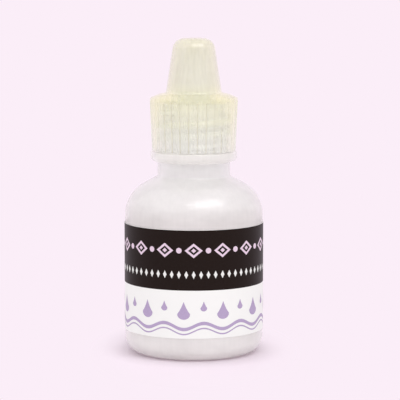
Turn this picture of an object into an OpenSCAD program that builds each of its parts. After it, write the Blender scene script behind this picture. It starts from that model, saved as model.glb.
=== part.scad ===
// Squeeze bottle for eye drops, 10 ml, with a pressed-in dropper and a ribbed screw cap.
// Millimetres, +Z up, the origin at the centre of the ring that the bottle stands on.
// Every moulding is a profile turned about the Z axis. A profile is a list of corners
// [radius from the axis, height, radius of rounding], and rounded() turns it into points.

/* [Bottle body] */
// Outer diameter of the straight wall
body_d = 24.9; // [22:0.1:28]
// Height of the corner where the shoulder meets the neck
body_h = 32.1; // [28:0.1:45]
// Thickness of the blown wall
wall = 0.9; // [0.7:0.05:1.2]
// Radius of the rounded heel
heel_r = 3; // [2:0.1:4]
// Radius of the rounded shoulder
shoulder_r = 6.5; // [5:0.1:7]
// Slope of the shoulder below the neck, in degrees
shoulder_slope = 29; // [22:1:34]
// Width of the flat ring that the bottle stands on
foot_w = 1.2; // [0.8:0.1:2]
// Height of the dome pushed up into the base
pushup_h = 0.9; // [0.5:0.1:1.4]

/* [Neck] */
// Diameter of the bare neck below the tamper ring
neck_d = 13.1; // [12.7:0.1:13.6]
// Height of the bare neck from the shoulder to the tamper ring
neck_h = 2.6; // [2:0.1:4]
// Thickness of the neck's wall at the shoulder
neck_wall = 1.3; // [1.1:0.1:1.5]
// Radius of the fillet between shoulder and neck
neck_fillet = 0.5; // [0.2:0.1:0.8]
// Diameter of the finish under its screw thread
finish_d = 11.5; // [11.2:0.1:12]
// Height of the finish above the snap bead
finish_h = 8.45; // [7.5:0.05:11]
// Diameter of the bore through the neck
bore_d = 8.7; // [8.4:0.1:9]
// How far the snap bead stands out from the neck
bead_out = 0.4; // [0.3:0.05:0.5]
// Height of the snap bead's rim
bead_h = 0.5; // [0.4:0.05:0.8]

/* [Tamper ring] */
// Height of the ring
ring_h = 1.85; // [1.6:0.05:2.5]
// Wall of the ring around the snap bead
ring_wall = 0.75; // [0.6:0.05:1.1]
// Height of the inner lip that catches below the snap bead
ring_lip_h = 0.7; // [0.5:0.05:0.8]
// Radius of the ring's rounded lower edge
ring_round = 0.9; // [0.4:0.1:1]
// Number of weak bridges to the cap
bridge_count = 8; // [4:1:12]
// Width of a bridge
bridge_w = 0.5; // [0.3:0.1:0.8]

/* [Dropper insert] */
// Depth that the plug reaches into the neck
plug_h = 6; // [5:0.1:7]
// Wall of the plug
plug_wall = 0.85; // [0.7:0.05:1.1]
// How far the plug's two sealing beads bite into the bore
seal_bite = 0.04; // [0.02:0.01:0.08]
// Diameter of the flange on the neck's lip
flange_d = 11.1; // [10.4:0.1:11.4]
// Thickness of the flange
flange_h = 0.7; // [0.5:0.05:1]
// Diameter of the nozzle above the flange
nozzle_d = 6.2; // [5.4:0.1:6.6]
// Diameter of the nozzle's tip
tip_d = 4; // [3.6:0.1:4.4]
// Height of the nozzle above the flange
nozzle_h = 9; // [7:0.1:9.4]
// Thickness of the nozzle's wall
nozzle_wall = 1; // [0.8:0.05:1.2]
// Diameter of the orifice that meters the drop
orifice_d = 0.5; // [0.3:0.05:0.8]
// Diameter of the flared outlet at the tip
outlet_d = 2; // [1.6:0.1:2.2]
// Depth of the flared outlet
outlet_h = 1.2; // [1:0.1:1.6]

/* [Cap] */
// Wall of the skirt at its lower edge
skirt_wall = 0.8; // [0.7:0.05:1.1]
// How much wider the skirt is at its top than at its lower edge
skirt_flare = 0.8; // [0.2:0.1:1.2]
// Thickness of the cap's top at its edge
top_wall = 0.9; // [0.8:0.05:1.4]
// Radius of the skirt's top edge
top_round = 0.3; // [0.2:0.1:0.6]
// Rise of the cap's top from its edge to the nose
dome_h = 0.9; // [0.7:0.1:1.3]
// Diameter where the domed top turns from steep to flat
crown_d = 12.7; // [12:0.1:14]
// Rise of the cap's top from its edge to that turn
crown_h = 0.66; // [0.4:0.02:0.7]
// Diameter of the nose at its foot
nose_d = 10.1; // [9.6:0.1:10.8]
// Narrowing of the nose on each side, in degrees
nose_taper = 8.6; // [6:0.1:9]
// Radius of the fillet between the nose and the cap's top
nose_fillet = 0.5; // [0.2:0.1:0.8]
// Radius of the nose's rounded top edge
nose_round = 2.1; // [1:0.1:2.3]
// Wall of the nose
nose_wall = 1.1; // [0.9:0.05:1.2]
// Thickness of the nose's closed top
nose_top = 1.65; // [1.2:0.05:2]
// Number of grip grooves, one between each pair of ribs
groove_count = 30; // [20:1:40]
// Diameter of the tool that cuts a groove
groove_d = 0.65; // [0.5:0.05:1]
// Depth of a groove
groove_depth = 0.2; // [0.1:0.05:0.25]
// Smooth rim left above the grooves
rim_h = 0.5; // [0.4:0.1:1.5]

/* [Label] */
// Bare wall between the rounded heel and the label
label_low = 1.4; // [0.5:0.1:4]
// Bare wall between the label and the rounded shoulder
label_high = 1.3; // [0.5:0.1:6]
// Thickness of the label's film
label_t = 0.08; // [0.05:0.01:0.15]
// Width of the gap between the label's ends at the back
label_gap = 3; // [1:0.5:10]

/* [Solution] */
// Height of the air in the shoulder, from the liquid's level up to the neck
air_h = 6.5; // [5:0.5:18]

/* [Fits] */
// Radial room around the finish for the screw thread
thread_room = 1; // [0.95:0.05:1.2]
// Clearance between the ring and the neck that it turns on
ring_play = 0.15; // [0.1:0.01:0.2]
// Gap between the tamper ring and the cap's skirt
ring_gap = 0.15; // [0.1:0.05:0.5]
// Clearance between the plug and the bore
plug_play = 0.03; // [0.02:0.01:0.05]
// Clearance where the closed cap seats on the dropper
seat_play = 0.05; // [0.03:0.01:0.1]
// Room between the nozzle's tip and the closed top of the nose
tip_room = 1; // [0.6:0.1:2]
// Adhesive or film of air between the wall and what lies against it
skin_play = 0.02; // [0.01:0.01:0.05]

/* [Hidden] */
$fn = 96;

// Angle that one segment of a rounded corner turns, and the steps of the base's dome
arc_step = 4;
dome_steps = 8;
// Turn of the first grip groove from +X, in degrees
groove_phase = 11;

body_r = body_d / 2;
foot_r = body_r - heel_r - foot_w;
neck_r = neck_d / 2;
finish_r = finish_d / 2;
bore_r = bore_d / 2;
bead_r = neck_r + bead_out;

ring_z = body_h + neck_h;
ring_top = ring_z + ring_h;
ring_in = bead_r + ring_play;
ring_r = ring_in + ring_wall;
bead_z = ring_z + ring_lip_h + ring_play;
bead_top = bead_z + bead_h;
lip_z = bead_top + finish_h;
lip_round = 0.25;
edge_round = 0.1;
crown_round = 4;

plug_r = bore_r - plug_play;
plug_in = plug_r - plug_wall;
seal_r = bore_r + seal_bite;
seal_h = 0.5;
seal_pitch = plug_h / 3;
flange_top = lip_z + flange_h;
tip_z = flange_top + nozzle_h;
tip_r = tip_d / 2;
outlet_r = outlet_d / 2;
outlet_rim = 0.15;

skirt_z = ring_top + ring_gap;
ceiling_z = flange_top + seat_play;
edge_z = ceiling_z + top_wall;
nose_z = edge_z + dome_h;
cavity_top = tip_z + tip_room;
nose_peak = cavity_top + nose_top;
thread_bore_r = finish_r + thread_room;
skirt_r = thread_bore_r + skirt_wall;
edge_r = skirt_r + skirt_flare / 2;
nose_r = nose_d / 2;
groove_top = edge_z - rim_h;

// Radii on the flared skirt and on the nose's outer and inner cones, at height z
function skirt_at(z) = skirt_r + (edge_r - skirt_r) * (z - skirt_z) / (edge_z - skirt_z);
function nose_at(z) = nose_r - (z - nose_z) * tan(nose_taper);
function cavity_at(z) = nose_at(z) - nose_wall / cos(nose_taper);

// Points of a profile: each corner [r, z, rounding] becomes an arc, or stays sharp at 0
function rounded(c) = [for (i = [0 : len(c) - 1])
    each (c[i][2] > 0 ? corner_arc(c[i - 1], c[i], c[(i + 1) % len(c)]) : [flat(c[i])])];
function flat(p) = [p[0], p[1]];
function unit(v) = v / norm(v);
function corner_arc(before, at, after) = let (
    u = unit(flat(before) - flat(at)),
    v = unit(flat(after) - flat(at)),
    half = acos(u * v) / 2,
    centre = flat(at) + unit(u + v) * at[2] / sin(half),
    start = flat(at) + u * at[2] / tan(half) - centre,
    turn = 180 - 2 * half,
    side = sign(u[1] * v[0] - u[0] * v[1]),
    steps = max(2, ceil(turn / arc_step)))
    [for (k = [0 : steps]) let (a = side * turn * k / steps)
        centre + [start[0] * cos(a) - start[1] * sin(a), start[0] * sin(a) + start[1] * cos(a)]];
function backwards(c) = [for (i = [len(c) - 1 : -1 : 0]) c[i]];

// The skin that lies t inside the bottle's outer surface, from the base's centre to the neck
dome_r = (foot_r * foot_r + pushup_h * pushup_h) / (2 * pushup_h);
function pushup(t) = [for (k = [0 : dome_steps]) let (r = foot_r * k / dome_steps)
    [r, t + pushup_h - dome_r + sqrt(dome_r * dome_r - r * r), 0]];
function slope_z(r, t) = body_h - (r - neck_r) * tan(shoulder_slope) - t / cos(shoulder_slope);
function skin(t) = concat(pushup(t), [
    [body_r - t, t, heel_r - t],
    [body_r - t, slope_z(body_r - t, t), shoulder_r - t]]);
shoulder_z = slope_z(body_r, 0) - shoulder_r / tan(45 + shoulder_slope / 2);

module turned(corners) {
    rotate_extrude() polygon(rounded(corners));
}

module bottle() {
    neck_in = neck_r - neck_wall;
    color([0.92, 0.9, 0.9]) turned(concat(skin(0), [
        [neck_r, body_h, neck_fillet],
        [neck_r, bead_z, 0],
        [bead_r, bead_z, edge_round],
        [bead_r, bead_top, edge_round],
        [finish_r, bead_top + bead_r - finish_r, edge_round],
        [finish_r, lip_z, lip_round],
        [bore_r, lip_z, 0],
        [bore_r, ring_z, 0],
        [neck_in, slope_z(neck_in, wall), neck_fillet]],
        backwards(skin(wall))));
}

// One of the plug's sealing beads, seen from the plug's lower end upwards
function seal_bead(z) = [
    [plug_r, z, 0],
    [seal_r, z + seal_h / 3, 0],
    [seal_r, z + seal_h * 2 / 3, 0],
    [plug_r, z + seal_h, 0]];

module dropper_insert() {
    plug_z = lip_z - plug_h;
    channel_r = nozzle_d / 2 - nozzle_wall;
    channel_top = tip_z - outlet_h - 2 * orifice_d;
    color([0.96, 0.95, 0.94]) turned(concat(
        [[plug_in, plug_z, 0],
        [plug_r - plug_wall / 2, plug_z, 0],
        [plug_r, plug_z + plug_wall, 0]],
        seal_bead(plug_z + seal_pitch),
        seal_bead(plug_z + 2 * seal_pitch),
        [[plug_r, lip_z, 0],
        [flange_d / 2, lip_z, 0],
        [flange_d / 2, flange_top, lip_round],
        [nozzle_d / 2, flange_top, lip_round],
        [tip_r, tip_z, lip_round],
        [outlet_r + outlet_rim, tip_z, 0],
        [outlet_r, tip_z - outlet_rim, 0],
        [orifice_d / 2, tip_z - outlet_h, 0],
        [orifice_d / 2, channel_top, 0],
        [tip_r - nozzle_wall, channel_top - tip_r + nozzle_wall, 0],
        [channel_r, flange_top, lip_round],
        [plug_in, flange_top - plug_in + channel_r, lip_round]]));
}

module cap() {
    // The pin's cone runs beside the flared outlet's, and stops short of the orifice
    pin_slope = (outlet_r - orifice_d / 2) / (outlet_h - outlet_rim);
    pin_r = outlet_r - 2 * seat_play;
    pin_h = outlet_h - 2 * outlet_rim;
    color([0.93, 0.91, 0.79]) difference() {
        turned([
            [thread_bore_r, skirt_z, 0],
            [skirt_r, skirt_z, 0],
            [edge_r, edge_z, top_round],
            [crown_d / 2, edge_z + crown_h, crown_round],
            [nose_r, nose_z, nose_fillet],
            [nose_at(nose_peak), nose_peak, nose_round],
            [0, nose_peak, 0],
            [0, tip_z - pin_h, 0],
            [pin_r - pin_slope * (pin_h - outlet_rim), tip_z - pin_h, 0],
            [pin_r, tip_z - outlet_rim, 0],
            [pin_r, cavity_top, lip_round],
            [cavity_at(cavity_top), cavity_top, lip_round],
            [cavity_at(ceiling_z), ceiling_z, edge_round],
            [thread_bore_r, ceiling_z, lip_round]]);
        grip_grooves();
    }
}

// Grooves along the skirt's flared side, from below its lower edge up to the smooth rim
module grip_grooves() {
    out = groove_d / 2 - groove_depth;
    below = 1;
    lean = atan((edge_r - skirt_r) / (edge_z - skirt_z));
    for (k = [0 : groove_count - 1])
        rotate([0, 0, groove_phase + k * 360 / groove_count])
            translate([skirt_at(skirt_z - below) + out, 0, skirt_z - below])
                rotate([0, lean, 0])
                    cylinder(d = groove_d, h = groove_top - skirt_z + below);
}

module tamper_ring() {
    lip_in = neck_r + ring_play;
    bridge_t = (skirt_r - ring_in) / 2;
    color([0.93, 0.92, 0.9]) union() {
        turned([
            [lip_in, ring_z, 0],
            [ring_r, ring_z, ring_round],
            [ring_r, ring_top, lip_round],
            [ring_in, ring_top, edge_round],
            [ring_in, ring_z + ring_lip_h + ring_play, 0],
            [lip_in, ring_z + ring_lip_h, 0]]);
        for (k = [0 : bridge_count - 1])
            rotate([0, 0, (k + 0.5) * 360 / bridge_count])
                translate([ring_in + bridge_t / 2 + edge_round, -bridge_w / 2, ring_top - edge_round])
                    cube([bridge_t, bridge_w, ring_gap - seat_play + edge_round]);
    }
}

module label() {
    gap_angle = label_gap / body_r * 180 / PI;
    label_z = heel_r + label_low;
    label_h = shoulder_z - label_high - label_z;
    color([0.97, 0.95, 0.95]) rotate([0, 0, 90 + gap_angle / 2])
        rotate_extrude(angle = 360 - gap_angle)
            translate([body_r + skin_play, label_z]) square([label_t, label_h]);
}

module solution() {
    inset = wall + skin_play;
    top = slope_z(neck_r, inset);
    color([0.85, 0.87, 0.9]) intersection() {
        turned(concat(skin(inset), [[neck_r, top, 0], [0, top, 0]]));
        cylinder(r = body_r, h = body_h - air_h);
    }
}

bottle();
dropper_insert();
cap();
tamper_ring();
label();
solution();
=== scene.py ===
import math

import bpy
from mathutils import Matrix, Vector


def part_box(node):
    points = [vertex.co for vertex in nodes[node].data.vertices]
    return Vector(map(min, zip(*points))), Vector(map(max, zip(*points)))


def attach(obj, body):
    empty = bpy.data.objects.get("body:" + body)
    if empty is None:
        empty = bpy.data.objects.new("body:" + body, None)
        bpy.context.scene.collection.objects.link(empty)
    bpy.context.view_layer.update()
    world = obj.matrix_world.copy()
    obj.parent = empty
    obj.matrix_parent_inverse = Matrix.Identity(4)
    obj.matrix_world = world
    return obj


MM = 0.001

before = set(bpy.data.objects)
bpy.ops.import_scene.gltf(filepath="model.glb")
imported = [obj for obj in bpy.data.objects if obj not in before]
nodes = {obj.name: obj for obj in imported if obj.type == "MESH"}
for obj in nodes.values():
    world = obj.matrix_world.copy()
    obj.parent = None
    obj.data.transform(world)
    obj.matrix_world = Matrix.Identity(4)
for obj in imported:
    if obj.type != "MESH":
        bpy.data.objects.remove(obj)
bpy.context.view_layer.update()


# Colours, written as sRGB bytes and used as linear values

def linear(byte):
    share = byte / 255
    return share / 12.92 if share <= 0.04045 else ((share + 0.055) / 1.055) ** 2.4


def rgb(r, g, b):
    return linear(r), linear(g), linear(b)


def shade(color, factor, lift=0.0):
    return tuple(c * factor + lift for c in color)


BACKGROUND = rgb(251, 238, 248)
WHITE = (1.0, 1.0, 1.0)
BLACK = (0.0, 0.0, 0.0)


# Node trees

class Nodes:
    """Builds a node tree: add() makes a node, sets its inputs and links what is a socket."""

    def __init__(self, tree):
        self.tree = tree
        tree.nodes.clear()

    def add(self, kind, inputs=None, **settings):
        node = self.tree.nodes.new(kind)
        for name, value in settings.items():
            setattr(node, name, value)
        for name, value in (inputs or {}).items():
            socket = node.inputs[name]
            if isinstance(value, bpy.types.NodeSocket):
                self.tree.links.new(value, socket)
            elif isinstance(value, tuple) and len(value) < len(socket.default_value):
                socket.default_value = (*value, 1.0)
            else:
                socket.default_value = value
        return node

    def math(self, operation, a, b=0.0, c=0.0):
        return self.add("ShaderNodeMath", {0: a, 1: b, 2: c}, operation=operation).outputs[0]

    def mix(self, factor, a, b):
        return self.add("ShaderNodeMix", {0: factor, 6: a, 7: b}, data_type="RGBA").outputs[2]

    def stretched(self, place, factors):
        return self.add("ShaderNodeVectorMath", {0: place, 1: factors}, operation="MULTIPLY").outputs[0]

    def rise(self, value, low, high):
        """0 below low, 1 above high, smooth between them, or the other way round if low is above high."""
        return self.add("ShaderNodeMapRange", {"Value": value, "From Min": low, "From Max": high},
                        interpolation_type="SMOOTHSTEP").outputs[0]

    def noise(self, place, scale, detail=2.0, stretch=None):
        """Noise from 0 to 1, with about scale waves to a metre, drawn out along an axis by stretch."""
        if stretch:
            place = self.stretched(place, stretch)
        inputs = {"Vector": place, "Scale": scale, "Detail": detail}
        return self.add("ShaderNodeTexNoise", inputs).outputs["Fac"]

    def bump(self, height):
        """The normal of a surface with a relief of this height in metres."""
        return self.add("ShaderNodeBump", {"Strength": 1.0, "Distance": 1.0, "Height": height}).outputs[0]

    def stops(self, value, stops):
        """A color that changes smoothly with value, given as (value, color) in rising order."""
        low, high = stops[0][0], stops[-1][0]
        place = self.add("ShaderNodeMapRange", {"Value": value, "From Min": low, "From Max": high}).outputs[0]
        node = self.add("ShaderNodeValToRGB", {0: place})
        ramp = node.color_ramp
        while len(ramp.elements) < len(stops):
            ramp.elements.new(0.5)
        for element, (at, color) in zip(ramp.elements, stops):
            element.position = (at - low) / (high - low)
            element.color = (*color, 1.0)
        return node.outputs[0]

    def seen_directly(self):
        """1 on rays that show the background: from the camera, mirrored or through glass."""
        path = self.add("ShaderNodeLightPath").outputs
        some = self.math("MAXIMUM", path["Is Camera Ray"], path["Is Glossy Ray"])
        return self.math("MAXIMUM", some, path["Is Transmission Ray"])


def new_material(name):
    material = bpy.data.materials.new(name)
    material.use_nodes = True
    return material, Nodes(material.node_tree)


# Camera: its place, its look down in degrees, and its lens and sensor in millimetres

CAMERA_AT = (1.11 * MM, -400 * MM, 76.2 * MM)
CAMERA_PITCH = 6.93
CAMERA_LENS = 200.5
CAMERA_SENSOR = 36


def make_camera():
    data = bpy.data.cameras.new("camera")
    data.lens = CAMERA_LENS
    data.sensor_width = CAMERA_SENSOR
    data.clip_start, data.clip_end = 0.01, 20
    camera = bpy.data.objects.new("camera", data)
    camera.location = CAMERA_AT
    camera.rotation_euler = (math.radians(90 - CAMERA_PITCH), 0, 0)
    bpy.context.scene.collection.objects.link(camera)
    bpy.context.scene.camera = camera
    bpy.context.scene.view_settings.view_transform = "Standard"


# Light: the world's level, how much stronger it is from the left, and one large soft lamp

WORLD_LEVEL = 0.83
WORLD_SLOPE = 0.16
KEY_AT = (0.27, -0.5, 0.75)
KEY_AIM = (0, 0, 0.03)
KEY_SIZE = (0.85, 0.38)
KEY_POWER = 2.6


def make_world():
    world = bpy.data.worlds.new("studio")
    world.use_nodes = True
    n = Nodes(world.node_tree)
    shown = n.add("ShaderNodeBackground", {"Color": BACKGROUND, "Strength": 1.0}).outputs[0]
    way = n.add("ShaderNodeTexCoord").outputs["Generated"]
    across = n.add("ShaderNodeSeparateXYZ", {0: way}).outputs["X"]
    strength = n.math("MULTIPLY_ADD", across, -WORLD_SLOPE, WORLD_LEVEL)
    light = n.add("ShaderNodeBackground", {"Color": WHITE, "Strength": strength}).outputs[0]
    mixed = n.add("ShaderNodeMixShader", {0: n.seen_directly(), 1: light, 2: shown}).outputs[0]
    n.add("ShaderNodeOutputWorld", {"Surface": mixed})
    bpy.context.scene.world = world


def make_lamp():
    data = bpy.data.lights.new("key", "AREA")
    data.shape = "RECTANGLE"
    data.size, data.size_y = KEY_SIZE
    data.energy = KEY_POWER
    lamp = bpy.data.objects.new("key", data)
    lamp.location = KEY_AT
    lamp.rotation_euler = (Vector(KEY_AIM) - Vector(KEY_AT)).to_track_quat("-Z", "Y").to_euler()
    bpy.context.scene.collection.objects.link(lamp)


def make_bounces():
    """Enough of them for light to get in and out through the nested translucent walls."""
    cycles = bpy.context.scene.cycles
    cycles.max_bounces = 24
    cycles.diffuse_bounces = 16
    cycles.glossy_bounces = 8
    cycles.transmission_bounces = 24
    cycles.transparent_max_bounces = 64


# Floor: its half width, and how far it lies below the base so that the two don't share a plane
FLOOR_HALF = 4.0
FLOOR_DROP = 0.02 * MM
FLOOR_COLOR = (0.97, 0.97, 0.97)
# Half widths in x and y of the patch that shows the shadow, and the share of them where it fades
FLOOR_SHADOW = (19 * MM, 36 * MM)
FLOOR_FADE = 0.6
# Painted contact shade: the darkest share of its colour where something stands on it, and how far from there
# that reaches
FLOOR_CONTACT_SHADE = 0.75
FLOOR_REACH = 5 * MM
# The share of plain light in what it throws back on the object
FLOOR_GLOW = 0.2


def make_floor():
    """A plain floor in the background's colour, which keeps the object's shadow."""
    mesh = bpy.data.meshes.new("floor")
    corners = [(x * FLOOR_HALF, y * FLOOR_HALF, 0) for x, y in ((-1, -1), (1, -1), (1, 1), (-1, 1))]
    mesh.from_pydata(corners, [], [(0, 1, 2, 3)])
    floor = bpy.data.objects.new("floor", mesh)
    floor.location.z = -FLOOR_DROP
    bpy.context.scene.collection.objects.link(floor)
    material, n = new_material("floor")
    place = n.add("ShaderNodeNewGeometry").outputs["Position"]
    scaled = n.stretched(place, (1 / FLOOR_SHADOW[0], 1 / FLOOR_SHADOW[1], 0))
    away = n.add("ShaderNodeVectorMath", {0: scaled}, operation="LENGTH").outputs["Value"]
    far = n.rise(away, FLOOR_FADE, 1.0)
    seen = n.seen_directly()
    # Painted contact shade: ambient occlusion darkens the floor's colour where something stands on it
    contact_shade = n.add("ShaderNodeAmbientOcclusion", {"Color": WHITE, "Distance": FLOOR_REACH}, samples=8)
    shown = n.mix(contact_shade.outputs["AO"], shade(BACKGROUND, FLOOR_CONTACT_SHADE), BACKGROUND)
    color = n.mix(seen, FLOOR_COLOR, shown)
    diffuse = n.add("ShaderNodeBsdfDiffuse", {"Color": color}).outputs[0]
    plain = n.add("ShaderNodeEmission", {"Color": BACKGROUND, "Strength": 1.0}).outputs[0]
    share = n.mix(seen, shade(WHITE, FLOOR_GLOW), n.mix(far, BLACK, WHITE))
    mixed = n.add("ShaderNodeMixShader", {0: share, 1: diffuse, 2: plain}).outputs[0]
    n.add("ShaderNodeOutputMaterial", {"Surface": mixed})
    mesh.materials.append(material)


# Pieces

def add_piece(name, verts, faces, body, material, smooth=True):
    mesh = bpy.data.meshes.new(name)
    mesh.from_pydata(verts, [], faces)
    mesh.validate()
    if smooth:
        mesh.polygons.foreach_set("use_smooth", [True] * len(mesh.polygons))
    mesh.materials.append(material)
    piece = bpy.data.objects.new(name, mesh)
    bpy.context.scene.collection.objects.link(piece)
    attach(piece, body)


def around(r, angle, z):
    return (r * math.cos(angle), r * math.sin(angle), z)


# Screw threads: right-hand ridges, which clear each other when the cap lifts straight off

THREAD_PITCH = 2.12 * MM
# Steps to a turn, and the angle in degrees over which a ridge rises at each end
THREAD_STEPS = 96
THREAD_FADE = 25
# The ridge's section from its lower foot over its crest: share of the rise, and height in millimetres
THREAD_SECTION = ((-0.08, -0.56), (0.15, -0.5), (0.85, -0.28), (1.0, -0.16), (0.98, -0.06), (0.55, 0.42),
                  (0.15, 0.56), (-0.08, 0.6))
# Radius at the foot and at the crest, height of the start, turns, and angle of the start in degrees
NECK_THREAD = (5.75 * MM, 6.45 * MM, 37.3 * MM, 3.05, -130)
CAP_THREAD = (6.75 * MM, 6.52 * MM, 38.6 * MM, 2.0, 100)


def make_thread(name, size, body, material):
    """A screw ridge on a neck or in a bore, which fades in and out at its ends."""
    foot_r, crest_r, start_z, turns, start = size
    steps = int(THREAD_STEPS * turns)
    fade = THREAD_FADE / 360 / turns
    ring = len(THREAD_SECTION)
    verts, faces = [], []
    for i in range(steps + 1):
        t = i / steps
        angle = math.radians(start) + t * turns * 2 * math.pi
        z = start_z + t * turns * THREAD_PITCH
        share = math.sin(min(1.0, t / fade, (1 - t) / fade) * math.pi / 2)
        for up, along in THREAD_SECTION:
            r = foot_r + (crest_r - foot_r) * (up * share if up > 0 else up)
            verts.append(around(r, angle, z + along * MM))
        if i:
            a, b = (i - 1) * ring, i * ring
            faces += [(b + j, b + (j + 1) % ring, a + (j + 1) % ring, a + j) for j in range(ring)]
    faces += [tuple(range(ring)), tuple(steps * ring + j for j in reversed(range(ring)))]
    if crest_r < foot_r:
        faces = [tuple(reversed(face)) for face in faces]
    add_piece(name, verts, faces, body, material, smooth=False)


# The label's print: flat patches laid round the label, as lists of columns (u, low, high),
# where u runs round the label from the middle of its front, to the right

LABEL_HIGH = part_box("label")[1]
LABEL_R = LABEL_HIGH[0]
LABEL_GAP = 3 * MM
# How far each layer of ink stands proud of the one below it, and where the print ends on the label
PRINT_RISE = 0.012 * MM
PRINT_TOP = LABEL_HIGH[2] - 0.02 * MM
PRINT_HALF = math.pi * LABEL_R - LABEL_GAP / 2 - 0.2 * MM
# Width of a band's columns, and the columns of one motif
PRINT_STEP = 0.2 * MM
BULGE_STEPS = 16
FRAME_STEPS = 24

# The motifs' places up the label, their widths and heights, and how many go round it
BAND_LOW = 13.0 * MM
FRIEZE_Z = 20.1 * MM
FRIEZE_COUNT = 15
FRAME_SIZE = (3.2 * MM, 2.6 * MM)
FRAME_STROKE = 0.5 * MM
DOT_SIZE = (1.0 * MM, 1.0 * MM)
KERNEL_SIZE = (0.9 * MM, 0.8 * MM)
BEAD_Z = 15.8 * MM
BEAD_COUNT = 60
BEAD_SIZE = (0.7 * MM, 1.4 * MM)
WAVE_COUNT = 11
WAVE_SWING = 0.55 * MM
WAVE_LINES = ((6.6 * MM, 0.6 * MM), (5.7 * MM, 0.25 * MM))
LARGE_DROP_Z = 9.4 * MM
LARGE_DROP_SIZE = (2.3 * MM, 3.2 * MM)
SMALL_DROP_Z = 10.2 * MM
SMALL_DROP_SIZE = (1.2 * MM, 1.8 * MM)


def printed(name, layer, patches, material):
    r = LABEL_R + layer * PRINT_RISE
    verts, faces = [], []
    for columns in patches:
        first = len(verts)
        for u, low, high in columns:
            angle = u / r - math.pi / 2
            verts += [around(r, angle, low), around(r, angle, high)]
        for i in range(len(columns) - 1):
            a = first + 2 * i
            faces.append((a, a + 2, a + 3, a + 1))
    add_piece(name, verts, faces, "bottle", material)


def all_round():
    """The u of each column of a patch that runs all round the label."""
    count = round(2 * PRINT_HALF / PRINT_STEP)
    return [-PRINT_HALF + 2 * PRINT_HALF * i / count for i in range(count + 1)]


def band(low, high):
    return [(u, low, high) for u in all_round()]


def wave(z, thick, length):
    columns = []
    for u in all_round():
        middle = z + WAVE_SWING * math.sin(2 * math.pi * u / length)
        columns.append((u, middle - thick / 2, middle + thick / 2))
    return columns


def bulge(u0, z0, size, form):
    """A closed patch: form gives its lower and upper edge, -1 to 1, at -1 to 1 of its width."""
    width, height = size
    columns = []
    for k in range(BULGE_STEPS + 1):
        t = -math.cos(math.pi * k / BULGE_STEPS)
        low, high = form(t)
        columns.append((u0 + t * width / 2, z0 + low * height / 2, z0 + high * height / 2))
    return columns


def disc(t):
    edge = math.sqrt(max(0.0, 1 - t * t))
    return -edge, edge


def lozenge(t):
    return abs(t) - 1, 1 - abs(t)


def drop(t):
    """Round below, drawn up to a point above."""
    edge = math.sqrt(max(0.0, 1 - t * t))
    return -0.4 - 0.6 * edge, -0.4 + 1.4 * (1 - abs(t)) ** 1.6 + 0.25 * edge * abs(t)


def lozenge_frame(u0, z0):
    """The two chevrons that make a lozenge's outline."""
    width, height = FRAME_SIZE
    inner = 1 - FRAME_STROKE / (height / 2)
    halves = []
    for side in (1, -1):
        columns = []
        for k in range(FRAME_STEPS + 1):
            t = 2 * k / FRAME_STEPS - 1
            outer_z = side * (1 - abs(t)) * height / 2
            inner_z = side * max(0.0, inner - abs(t)) * height / 2
            columns.append((u0 + t * width / 2, z0 + min(outer_z, inner_z), z0 + max(outer_z, inner_z)))
        halves.append(columns)
    return halves


def places(count, shift=0.0):
    """Even places round the label, without those that the gap at its back would cut."""
    pitch = 2 * math.pi * LABEL_R / count
    spots = [(k + shift) * pitch for k in range(-count // 2, count // 2 + 1)]
    return [u for u in spots if abs(u) < PRINT_HALF - pitch / 2]


def make_print():
    lilac_ink = ink("lilac_ink", rgb(186, 166, 202))
    printed("label_band", 1, [band(BAND_LOW, PRINT_TOP)], ink("band_ink", rgb(26, 12, 6)))
    frames = [half for u in places(FRIEZE_COUNT) for half in lozenge_frame(u, FRIEZE_Z)]
    dots = [bulge(u, FRIEZE_Z, DOT_SIZE, disc) for u in places(FRIEZE_COUNT, 0.5)]
    kernels = [bulge(u, FRIEZE_Z, KERNEL_SIZE, lozenge) for u in places(FRIEZE_COUNT)]
    printed("label_frieze", 2, frames + dots + kernels, ink("pale_lilac_ink", rgb(233, 209, 227)))
    beads = [bulge(u, BEAD_Z, BEAD_SIZE, lozenge) for u in places(BEAD_COUNT)]
    printed("label_beads", 2, beads, ink("white_ink", rgb(240, 238, 236)))
    length = 2 * math.pi * LABEL_R / WAVE_COUNT
    printed("label_waves", 1, [wave(z, thick, length) for z, thick in WAVE_LINES], lilac_ink)
    large = [bulge(u, LARGE_DROP_Z, LARGE_DROP_SIZE, drop) for u in places(WAVE_COUNT, -0.25)]
    small = [bulge(u, SMALL_DROP_Z, SMALL_DROP_SIZE, drop) for u in places(WAVE_COUNT, 0.25)]
    printed("label_drops", 1, large + small, lilac_ink)


# Materials: Object coordinates are the frame's own metres, because the nodes' origins are its origin

# Waves to a metre in ink's grain, in film's tone and grain, and how deep film's grain is
INK_GRAIN = 4000.0
FILM_TONE = 500.0
FILM_GRAIN = 700.0
FILM_DEPTH = 0.003 * MM


def ink(name, color):
    material, n = new_material(name)
    place = n.add("ShaderNodeTexCoord").outputs["Object"]
    base = n.mix(n.noise(place, INK_GRAIN), shade(color, 1.05), shade(color, 0.85, 0.008))
    inputs = {"Base Color": base, "Roughness": 0.4, "Specular IOR Level": 0.1}
    n.add("ShaderNodeOutputMaterial", {"Surface": n.add("ShaderNodeBsdfPrincipled", inputs).outputs[0]})
    return material


def film(name, color):
    material, n = new_material(name)
    place = n.add("ShaderNodeTexCoord").outputs["Object"]
    base = n.mix(n.noise(place, FILM_TONE, 3.0), color, shade(color, 0.97))
    height = n.math("MULTIPLY", n.noise(place, FILM_GRAIN), FILM_DEPTH)
    inputs = {"Base Color": base, "Roughness": 0.35, "Normal": n.bump(height)}
    n.add("ShaderNodeOutputMaterial", {"Surface": n.add("ShaderNodeBsdfPrincipled", inputs).outputs[0]})
    return material


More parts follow.
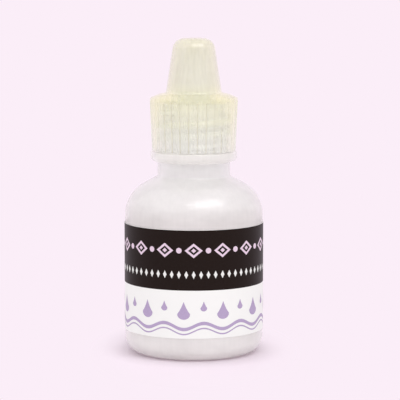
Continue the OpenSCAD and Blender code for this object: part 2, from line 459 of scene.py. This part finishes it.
def liquid(name):
    material, n = new_material(name)
    inputs = {"Base Color": WHITE, "Roughness": 0.0, "Transmission Weight": 1.0, "IOR": 1.33, "Alpha": 0.3}
    n.add("ShaderNodeOutputMaterial", {"Surface": n.add("ShaderNodeBsdfPrincipled", inputs).outputs[0]})
    return material


# The grip grooves in the cap's skirt: their number, the turn of the first, and the skirt's own bounds
GROOVES = 30
GROOVE_PHASE = math.radians(11)
GROOVE_R = 7.35 * MM
GROOVE_TOP = 45.65 * MM
# Painted shade in the grip grooves: the darker colour drawn there, and how much milkier the wall is made
# there
GROOVE_SHADE = rgb(226, 221, 200)
GROOVE_MILK = 0.12


def in_grooves(n, axes):
    """1 in the grip grooves of the cap, 0 elsewhere."""
    turn = n.math("ARCTAN2", axes["Y"], axes["X"])
    wave = n.math("COSINE", n.math("MULTIPLY_ADD", turn, GROOVES, -GROOVES * GROOVE_PHASE))
    line = n.rise(wave, 0.8, 0.97)
    y_squared = n.math("MULTIPLY", axes["Y"], axes["Y"])
    radius = n.math("SQRT", n.math("MULTIPLY_ADD", axes["X"], axes["X"], y_squared))
    outside = n.math("GREATER_THAN", radius, GROOVE_R)
    below = n.math("LESS_THAN", axes["Z"], GROOVE_TOP)
    return n.math("MULTIPLY", line, n.math("MULTIPLY", outside, below))


# Moulded plastic: waves to a metre and depth of its fine skin and of its wall's unevenness
SKIN_SCALE = 900.0
SKIN_DEPTH = 0.003 * MM
UNEVEN_SCALE = 150.0
UNEVEN_DEPTH = 0.02 * MM
UNEVEN_STRETCH = (1.0, 1.0, 0.6)
# Waves to a metre of its clouds and of its drag lines, and how the two are drawn out
CLOUD_SCALE = 110.0
CLOUD_STRETCH = (1.0, 1.0, 2.2)
DRAG_SCALE = 1600.0
DRAG_STRETCH = (1.0, 1.0, 0.03)
# Distances of the parting line's foot and top from its middle
SEAM_FOOT = 0.16 * MM
SEAM_TOP = 0.04 * MM


def plastic(name, color, roughness, alpha, transmission=0.0, tint=None, seam=0.0, cloud=0.3, drag=0.1,
            level=1.0, coat=1.0, grooves=False, thick=None):
    """A moulded translucent plastic.

    color may be a list of (z, color). cloud is how far its milkiness, alpha, varies, and drag how far
    it does so in fine streaks along z, where the moulding slid out of its mould. seam is the height of
    the mould's parting line at x = 0. thick is (low, high, more): from z low to high the wall gets
    thicker, which adds more to alpha. tint is the (color, density) of what its volume absorbs.
    """
    material, n = new_material(name)
    place = n.add("ShaderNodeTexCoord").outputs["Object"]
    axes = n.add("ShaderNodeSeparateXYZ", {0: place}).outputs
    base = n.stops(axes["Z"], color) if isinstance(color, list) else color
    clouds = n.math("SUBTRACT", n.noise(place, CLOUD_SCALE, 3.0, CLOUD_STRETCH), 0.5)
    alpha = n.math("MULTIPLY_ADD", clouds, cloud, alpha)
    streaks = n.math("SUBTRACT", n.noise(place, DRAG_SCALE, 1.0, DRAG_STRETCH), 0.5)
    alpha = n.math("MULTIPLY_ADD", streaks, drag, alpha)
    if thick:
        low, high, more = thick
        alpha = n.math("MULTIPLY_ADD", n.rise(axes["Z"], low, high), more, alpha)
    # Painted shade: the grip grooves are drawn darker and milkier, as dark lines down the skirt
    if grooves:
        share = in_grooves(n, axes)
        base = n.mix(share, base, GROOVE_SHADE)
        alpha = n.math("MULTIPLY_ADD", share, GROOVE_MILK, alpha)
    height = n.math("MULTIPLY", n.noise(place, SKIN_SCALE), SKIN_DEPTH)
    uneven = n.noise(place, UNEVEN_SCALE, 1.0, UNEVEN_STRETCH)
    height = n.math("MULTIPLY_ADD", uneven, UNEVEN_DEPTH, height)
    if seam:
        side = n.math("ABSOLUTE", axes["X"])
        height = n.math("MULTIPLY_ADD", n.rise(side, SEAM_FOOT, SEAM_TOP), seam, height)
    inputs = {
        "Base Color": base,
        "Roughness": roughness,
        "Transmission Weight": transmission,
        "Specular IOR Level": level,
        "IOR": 1.5,
        "Alpha": alpha,
        "Coat Weight": coat,
        "Coat Roughness": 0.14,
        "Normal": n.bump(height),
    }
    out = {"Surface": n.add("ShaderNodeBsdfPrincipled", inputs).outputs[0]}
    if tint:
        absorption = n.add("ShaderNodeVolumeAbsorption", {"Color": tint[0], "Density": tint[1]})
        out["Volume"] = absorption.outputs[0]
    n.add("ShaderNodeOutputMaterial", out)
    return material


def grade(*stops):
    """Colours that change with height, each given as z in millimetres and sRGB bytes."""
    return [(z * MM, rgb(r, g, b)) for z, r, g, b in stops]


# The bottle's colour carries painted shade, a darker band at the liquid's level, and painted light,
# lighter towards the neck against the shade under the ring and cap. The cap yellows towards its thick edge
BOTTLE_COLORS_AND_SHADE = grade((0, 254, 250, 249), (22, 254, 250, 249), (24.5, 246, 241, 240), (26.2, 249, 245, 244),
                      (27.2, 255, 252, 251), (36, 255, 254, 254))
# Painted shade: the cap's colour is darker over its nose from 49 to 55 mm, and lighter again at its tip
CAP_COLORS_AND_SHADE = grade((36, 255, 255, 254), (40, 255, 255, 249), (45, 255, 253, 228), (47.2, 253, 251, 230),
                   (49, 243, 240, 229), (55, 243, 240, 226), (57, 250, 248, 228))
CAP_TINT = ((1.0, 1.0, 0.8), 150)
# From its edge up into its nose the cap's wall thickens
CAP_THICK = (46 * MM, 49 * MM, 0.2)


def dress(node, material):
    mesh = nodes[node].data
    mesh.materials.clear()
    mesh.materials.append(material)
    for polygon in mesh.polygons:
        polygon.material_index = 0


def make_materials():
    """Dresses the solids, and makes the two threads in the materials of what they are part of."""
    cap = plastic("cream_polypropylene", CAP_COLORS_AND_SHADE, 0.12, 0.32, transmission=0.1, tint=CAP_TINT,
                  cloud=0.2, drag=0.25, grooves=True, thick=CAP_THICK)
    dress("bottle", plastic("natural_polyethylene", BOTTLE_COLORS_AND_SHADE, 0.3, 0.6, seam=0.02 * MM, drag=0.05))
    dress("dropper_insert", plastic("clear_polyethylene", WHITE, 0.2, 0.5, level=0.5, coat=0.0))
    dress("cap", cap)
    dress("tamper_ring", plastic("pale_polypropylene", rgb(255, 252, 249), 0.12, 0.5))
    dress("label", film("label_film", rgb(247, 245, 244)))
    dress("solution", liquid("eye_solution"))
    make_thread("neck_thread", NECK_THREAD, "bottle",
                plastic("thread_polyethylene", WHITE, 0.1, 0.6))
    make_thread("cap_thread", CAP_THREAD, "cap", cap)


make_camera()
make_world()
make_floor()
make_lamp()
make_bounces()
make_materials()
make_print()
